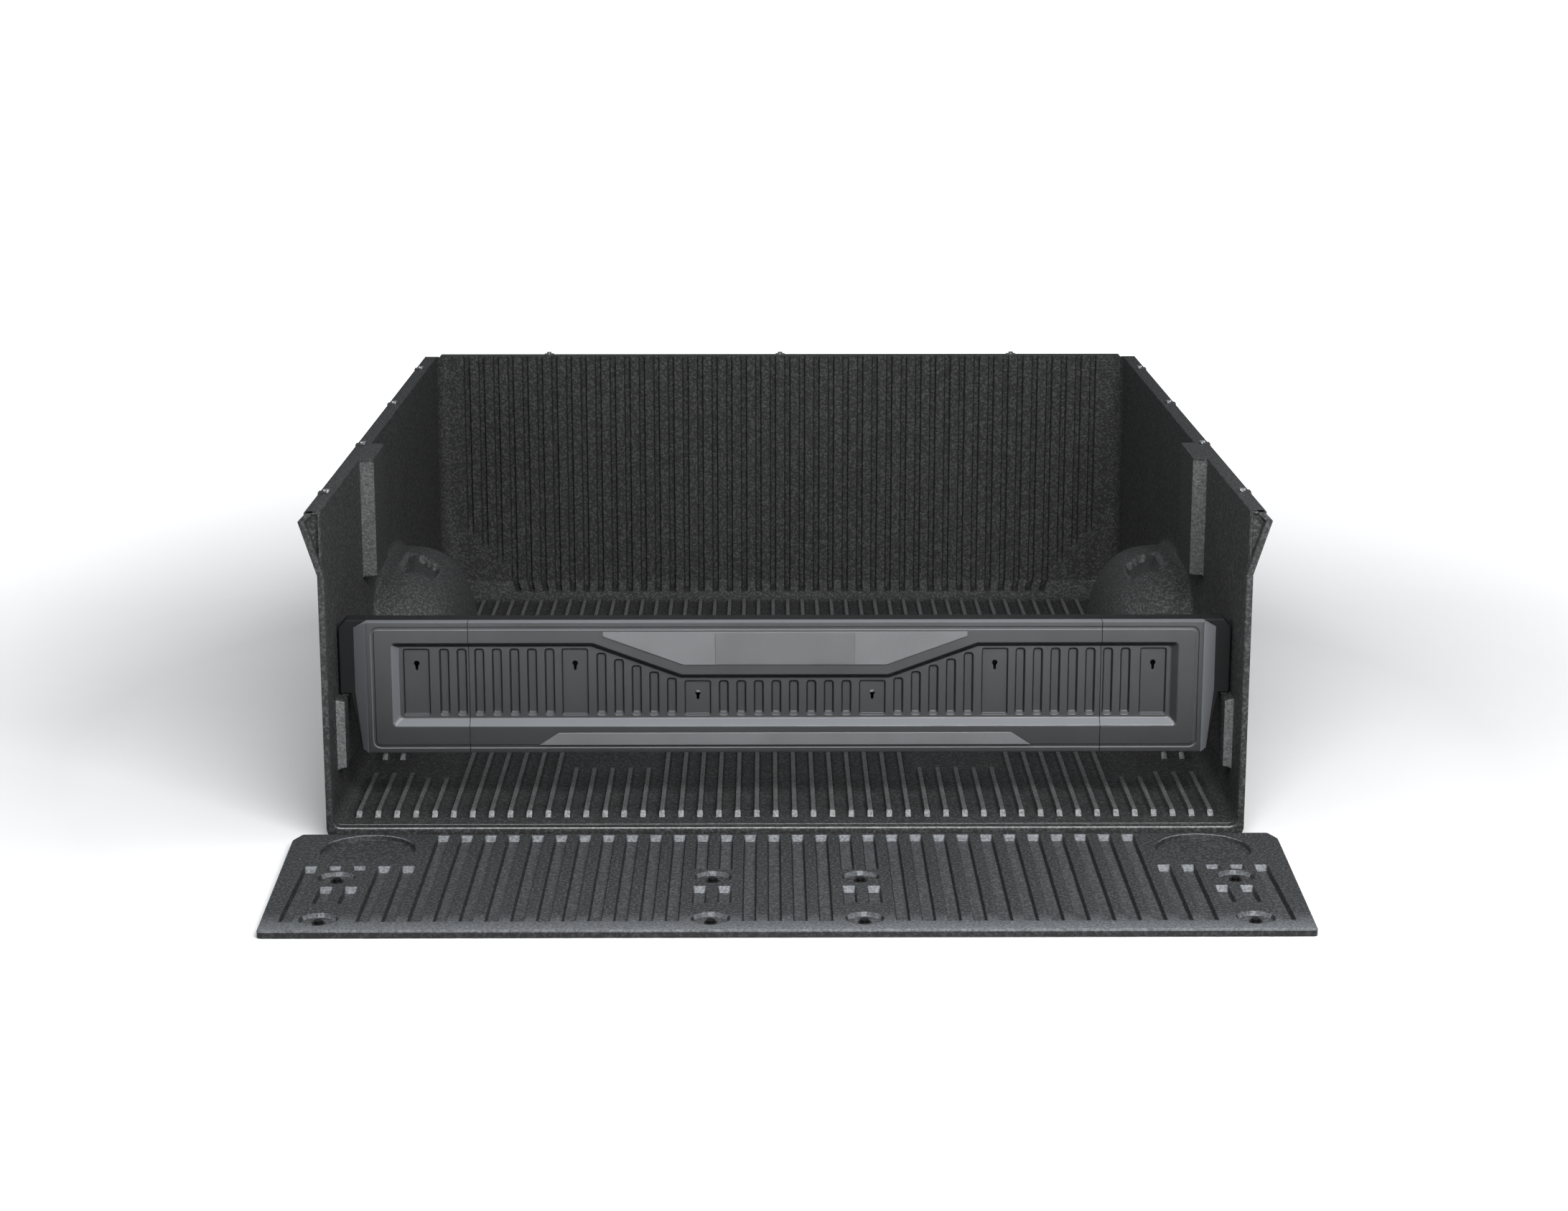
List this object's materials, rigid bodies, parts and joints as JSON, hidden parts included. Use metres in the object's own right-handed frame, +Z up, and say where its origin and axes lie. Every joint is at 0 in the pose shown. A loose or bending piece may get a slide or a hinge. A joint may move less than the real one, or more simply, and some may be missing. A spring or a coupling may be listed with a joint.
{
  "type": "pickup truck bed liner",
  "caption": "Formed plastic bed tub with ribbed floor, grooved bulkhead and wheel wells, a ribbed tailgate liner that hinges, and a lift-out cross-bed divider.",
  "frame": {"origin": "centre of the whole set's footprint, on the underside of the tub floor, with the tailgate liner lying open", "axes": "+X to the truck's right seen from behind, +Y forward to the cab, +Z up"},
  "size_m": [1.592, 2.2136, 0.5466],
  "materials": {
    "liner_plastic": "black high-density polyethylene sheet with a moulded pebble grain",
    "gate_plastic": "black high-density polyethylene sheet with a moulded pebble grain",
    "divider_plastic": "satin slate-grey moulded plastic",
    "badge_plastic": "satin mid-grey moulded plastic",
    "name_plate_plastic": "semi-gloss grey plastic, left blank",
    "cap_plastic": "dark satin moulded plastic",
    "shell_plastic": "dark satin moulded plastic",
    "pad_rubber": "black rubber",
    "clip_steel": "black phosphated spring steel",
    "tube_steel": "zinc-plated steel tube",
    "splice_aluminium": "mill-finish aluminium plate",
    "screw_steel": "zinc-plated steel",
    "screw_black": "black-oxide steel"
  },
  "bodies": {
    "tub": {"bed_tub": "liner_plastic", "left_rail_clips": "clip_steel", "right_rail_clips": "clip_steel", "front_rail_clips": "clip_steel", "left_rail_screws": "screw_steel", "right_rail_screws": "screw_steel", "front_rail_screws": "screw_steel"},
    "tailgate": {"tailgate_liner": "gate_plastic", "tailgate_washers": "screw_black", "tailgate_screws": "screw_black"},
    "divider": {"divider_face_left": "divider_plastic", "divider_face_center": "divider_plastic", "divider_face_right": "divider_plastic", "badge_plate": "badge_plastic", "blank_name_plate": "name_plate_plastic", "lower_trim_strip": "badge_plastic", "divider_back_shell": "shell_plastic", "divider_top_rail": "cap_plastic", "stiffening_tube": "tube_steel", "left_splice_plate": "splice_aluminium", "right_splice_plate": "splice_aluminium", "splice_screws": "screw_steel", "divider_screws": "screw_steel", "left_end_cap": "cap_plastic", "right_end_cap": "cap_plastic", "left_rest_pad": "pad_rubber", "right_rest_pad": "pad_rubber"}
  },
  "joints": [
    {"name": "tailgate_swing", "type": "hinge", "parent": "tub", "child": "tailgate", "pos_m": [0, -0.6448, 0.018], "axis": [-1, 0, 0], "range_deg": [0, 90]},
    {"name": "divider_lift", "type": "slide", "parent": "tub", "child": "divider", "axis": [0, 0, 1], "range_m": [0, 0.6]}
  ]
}
